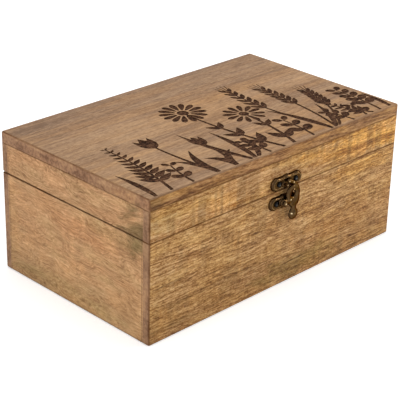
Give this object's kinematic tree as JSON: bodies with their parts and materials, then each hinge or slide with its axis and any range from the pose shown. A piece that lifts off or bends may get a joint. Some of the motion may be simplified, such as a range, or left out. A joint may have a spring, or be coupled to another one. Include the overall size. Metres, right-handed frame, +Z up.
{
  "type": "storage box",
  "caption": "Wooden keepsake box with a hinged lid, engraved plant motif on the top board and an antique brass swing latch.",
  "frame": {"origin": "centre of the box's underside, on the plane that it stands on", "axes": "+X along the front from left to right, +Y from the front with the latch to the back with the hinges, +Z up"},
  "size_m": [0.25, 0.1606, 0.106],
  "materials": {
    "top_wood": "engraved, thin satin varnish",
    "front_wood": "thin satin varnish",
    "end_wood": "thin satin varnish",
    "floor_wood": "bare sanded sheet",
    "antique_brass": "dark patina, rubbed bright on high spots",
    "hinge_brass": "dull plated",
    "bright_steel": "plain drawn wire"
  },
  "bodies": {
    "base": {"base_front_panel": "front_wood", "base_back_panel": "front_wood", "base_left_panel": "end_wood", "base_right_panel": "end_wood", "bottom_board": "floor_wood", "bottom_brads": "bright_steel", "left_hinge_base_leaf": "hinge_brass", "right_hinge_base_leaf": "hinge_brass", "left_hinge_pin": "hinge_brass", "right_hinge_pin": "hinge_brass", "hinge_base_screws": "hinge_brass", "latch_base_plate": "antique_brass", "latch_base_nails": "antique_brass", "latch_pivot_rivet": "antique_brass"},
    "lid": {"lid_top_board": "top_wood", "lid_front_rail": "front_wood", "lid_back_rail": "front_wood", "lid_left_rail": "end_wood", "lid_right_rail": "end_wood", "left_hinge_lid_leaf": "hinge_brass", "right_hinge_lid_leaf": "hinge_brass", "hinge_lid_screws": "hinge_brass", "latch_lid_plate": "antique_brass", "latch_lid_nails": "antique_brass", "latch_catch_stud": "antique_brass"},
    "hook": {"latch_hook": "antique_brass"}
  },
  "joints": [
    {"name": "lid_hinge", "type": "hinge", "parent": "base", "child": "lid", "pos_m": [0, 0.07715, 0.0756], "axis": [-1, 0, 0], "range_deg": [0, 180]},
    {"name": "hook_pivot", "type": "hinge", "parent": "base", "child": "hook", "pos_m": [-0.0031, -0.08, 0.0666], "axis": [0, 1, 0], "range_deg": [-11, 80]}
  ]
}
